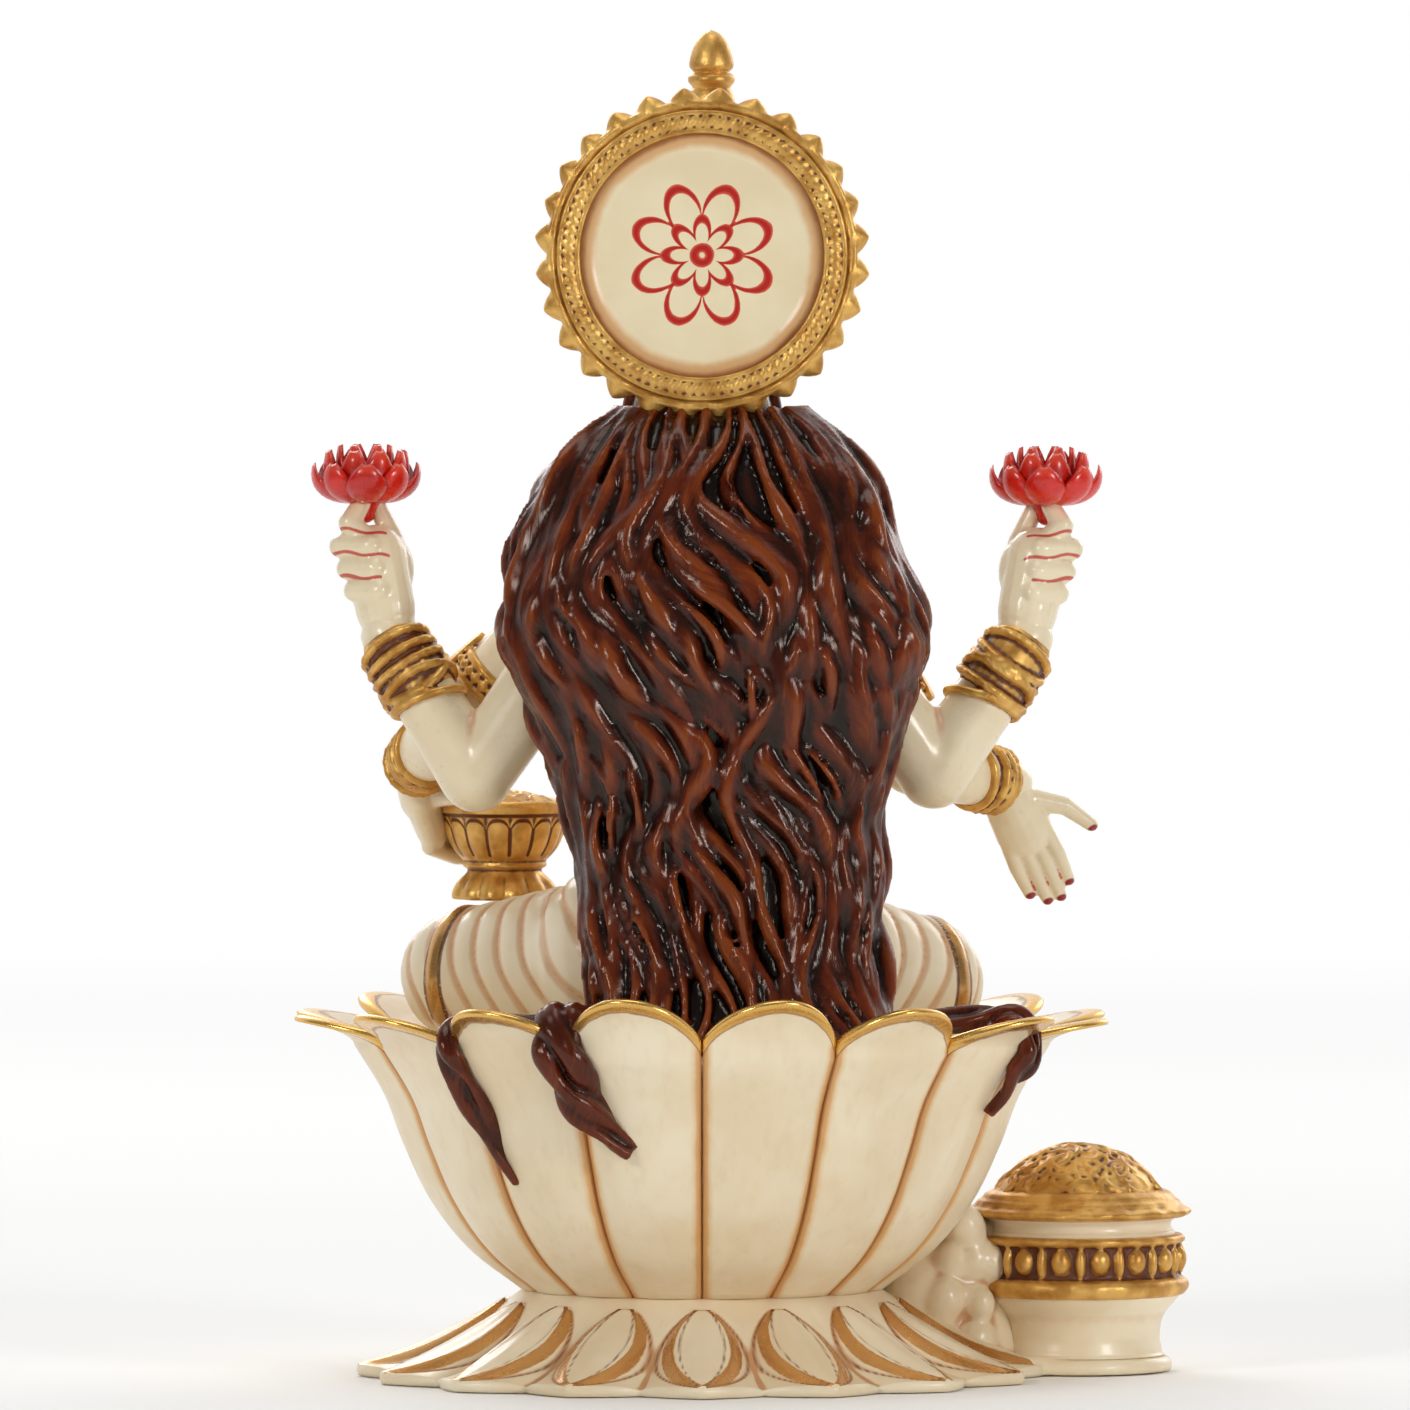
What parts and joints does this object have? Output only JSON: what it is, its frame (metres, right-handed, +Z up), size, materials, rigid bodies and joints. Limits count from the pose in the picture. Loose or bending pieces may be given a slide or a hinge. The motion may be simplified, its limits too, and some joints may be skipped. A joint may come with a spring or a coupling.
{
  "type": "hindu_deity_statue",
  "caption": "Seated four-armed goddess statuette on a lotus, painted cream and gold cast marble dust, long carved brown hair, halo and money pot",
  "frame": {"origin": "centre of the lotus at floor level, in the middle of the flat underside of the base", "axes": "+Z up; the figure faces -Y, so +X is the figure's left; the money pot stands on the -X side"},
  "size_m": [0.1508, 0.1276, 0.23],
  "materials": {
    "cream_paint": "cast marble dust and resin, satin cream paint with brown wash",
    "cream_cloth_paint": "cast marble dust and resin, satin cream with peach pleat lines",
    "cream_skin_paint": "cast marble dust and resin, semi-gloss cream, painted nails",
    "cream_disc_paint": "satin cream with an orange-brown sprayed edge and a red ornament",
    "brown_hair_paint": "glossy lacquered dark to reddish brown over black-brown grooves",
    "red_lotus_paint": "glossy red enamel",
    "gold_paint": "bronze-gold paint with dark brown wash in the grooves"
  },
  "bodies": {
    "root": {"armlet_left": "gold_paint", "armlet_right": "gold_paint", "base_skirt": "cream_paint", "coin_mound": "gold_paint", "crown": "gold_paint", "crown_finial": "gold_paint", "earring_left": "gold_paint", "earring_right": "gold_paint", "foot_left": "cream_skin_paint", "foot_right": "cream_skin_paint", "front_arm_left": "cream_skin_paint", "front_arm_right": "cream_skin_paint", "front_bangles_left": "gold_paint", "front_bangles_right": "gold_paint", "front_hand_left": "cream_skin_paint", "front_hand_right": "cream_skin_paint", "front_pleats": "cream_cloth_paint", "hair_cap": "brown_hair_paint", "hair_lock_big": "brown_hair_paint", "hair_lock_side": "brown_hair_paint", "hair_lock_thin": "brown_hair_paint", "hair_mass": "brown_hair_paint", "halo_disc": "cream_disc_paint", "halo_rope_ring": "gold_paint", "halo_tooth_ring": "gold_paint", "head": "cream_skin_paint", "kalash": "gold_paint", "legs_dhoti": "cream_cloth_paint", "lotus_flower_left": "red_lotus_paint", "lotus_flower_right": "red_lotus_paint", "necklace_long": "gold_paint", "necklace_short": "gold_paint", "petal_01": "cream_paint", "petal_02": "cream_paint", "petal_03": "cream_paint", "petal_04": "cream_paint", "petal_05": "cream_paint", "petal_06": "cream_paint", "petal_07": "cream_paint", "petal_08": "cream_paint", "petal_09": "cream_paint", "petal_10": "cream_paint", "petal_11": "cream_paint", "petal_12": "cream_paint", "petal_13": "cream_paint", "petal_14": "cream_paint", "petal_15": "cream_paint", "petal_16": "cream_paint", "pot_band": "gold_paint", "pot_body": "cream_paint", "rear_arm_left": "cream_skin_paint", "rear_arm_right": "cream_skin_paint", "rear_bangles_left": "gold_paint", "rear_bangles_right": "gold_paint", "rear_hand_left": "cream_skin_paint", "rear_hand_right": "cream_skin_paint", "seat_core": "cream_paint", "torso": "cream_skin_paint", "waist_belt": "gold_paint"}
  },
  "joints": []
}
